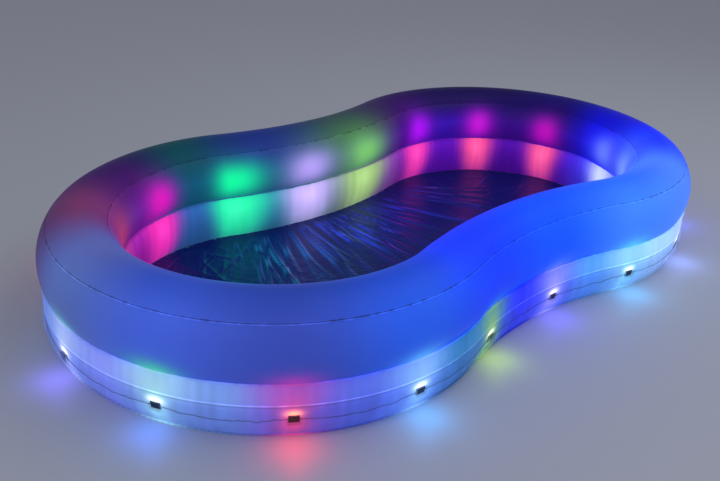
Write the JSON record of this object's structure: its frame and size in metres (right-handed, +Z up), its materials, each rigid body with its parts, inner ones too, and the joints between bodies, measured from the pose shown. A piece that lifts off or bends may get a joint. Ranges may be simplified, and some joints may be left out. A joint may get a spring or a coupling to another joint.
{
  "type": "inflatable family pool",
  "caption": "Inflatable pool with stacked air rings in a figure-eight plan and a lit sleeve of coloured light modules round its base.",
  "frame": {"origin": "on the ground at the middle of the pool's outline", "axes": "+X along the pool's length, +Y across it, away from the front, +Z up"},
  "size_m": [2.62, 1.4598, 0.377],
  "materials": {
    "ring_vinyl": "milky translucent film",
    "floor_vinyl": "thin glossy film",
    "clear_vinyl": "clear film",
    "light_lens": "lit lens",
    "cable": "satin jacket",
    "black_plastic": "fine texture",
    "valve_vinyl": "moulded soft vinyl",
    "valve_insert": "moulded",
    "silicone": "soft",
    "screw_steel": "plated",
    "cell_jacket": "foil jacket",
    "board": "solder mask",
    "button_grey": "soft touch"
  },
  "bodies": {
    "pool": {"top_panel": "ring_vinyl", "upper_outer_wall": "ring_vinyl", "upper_inner_wall": "ring_vinyl", "ring_diaphragm": "ring_vinyl", "lower_outer_wall": "ring_vinyl", "lower_inner_wall": "ring_vinyl", "ring_base_band": "ring_vinyl", "floor_sheet": "floor_vinyl", "light_sleeve": "clear_vinyl", "light_lenses": "light_lens", "light_wire": "cable", "wire_grommet": "black_plastic", "upper_valve_base": "valve_vinyl", "lower_valve_base": "valve_vinyl", "drain_seat": "valve_vinyl", "power_cradle": "valve_vinyl", "power_box": "black_plastic", "power_box_face": "black_plastic", "power_box_screws": "screw_steel", "battery_cells": "cell_jacket", "battery_contacts": "screw_steel", "control_board": "board", "light_1": "black_plastic", "light_2": "black_plastic", "light_3": "black_plastic", "light_4": "black_plastic", "light_5": "black_plastic", "light_6": "black_plastic", "light_7": "black_plastic", "light_8": "black_plastic", "light_9": "black_plastic", "light_10": "black_plastic", "light_11": "black_plastic", "light_12": "black_plastic", "light_13": "black_plastic", "light_14": "black_plastic", "light_15": "black_plastic", "light_16": "black_plastic", "light_17": "black_plastic", "light_18": "black_plastic"},
    "upper_cap": {"upper_valve_cap": "valve_vinyl"},
    "upper_insert": {"upper_valve_insert": "valve_insert"},
    "upper_flap": {"upper_valve_flap": "silicone"},
    "lower_cap": {"lower_valve_cap": "valve_vinyl"},
    "lower_insert": {"lower_valve_insert": "valve_insert"},
    "lower_flap": {"lower_valve_flap": "silicone"},
    "drain_plug": {"drain_plug": "valve_vinyl"},
    "battery_cover": {"battery_cover": "black_plastic"},
    "mode_button": {"mode_button": "button_grey"}
  },
  "joints": [
    {"name": "upper_cap_hinge", "type": "hinge", "parent": "pool", "child": "upper_cap", "pos_m": [0.94725, 0.6361, 0.216], "axis": [-0.866, 0.5, 0], "range_deg": [0, 140]},
    {"name": "upper_insert_turn", "type": "hinge", "parent": "pool", "child": "upper_insert", "pos_m": [0.945, 0.6322, 0.2325], "axis": [0.5, 0.866, 0], "range_deg": [0, 90]},
    {"name": "upper_flap_lift", "type": "slide", "parent": "upper_insert", "child": "upper_flap", "axis": [-0.5, -0.866, 0], "range_m": [0, 0.0025], "stiffness_N_per_m": 40},
    {"name": "lower_cap_hinge", "type": "hinge", "parent": "pool", "child": "lower_cap", "pos_m": [0.94338, 0.6294, 0.12334], "axis": [-0.866, 0.5, 0], "range_deg": [0, 140]},
    {"name": "lower_insert_turn", "type": "hinge", "parent": "pool", "child": "lower_insert", "pos_m": [0.93994, 0.62344, 0.139], "axis": [0.4946, 0.8566, 0.1472], "range_deg": [0, 90]},
    {"name": "lower_flap_lift", "type": "slide", "parent": "lower_insert", "child": "lower_flap", "axis": [-0.4946, -0.8566, -0.1472], "range_m": [0, 0.0025], "stiffness_N_per_m": 40},
    {"name": "drain_plug_lift", "type": "slide", "parent": "pool", "child": "drain_plug", "axis": [0, 0, 1], "range_m": [0, 0.014]},
    {"name": "battery_cover_slide", "type": "slide", "parent": "pool", "child": "battery_cover", "axis": [0.848, 0.5299, 0], "range_m": [0, 0.045]},
    {"name": "mode_button_press", "type": "slide", "parent": "pool", "child": "mode_button", "axis": [0.5241, -0.8388, -0.1472], "range_m": [0, 0.0012], "stiffness_N_per_m": 500}
  ]
}
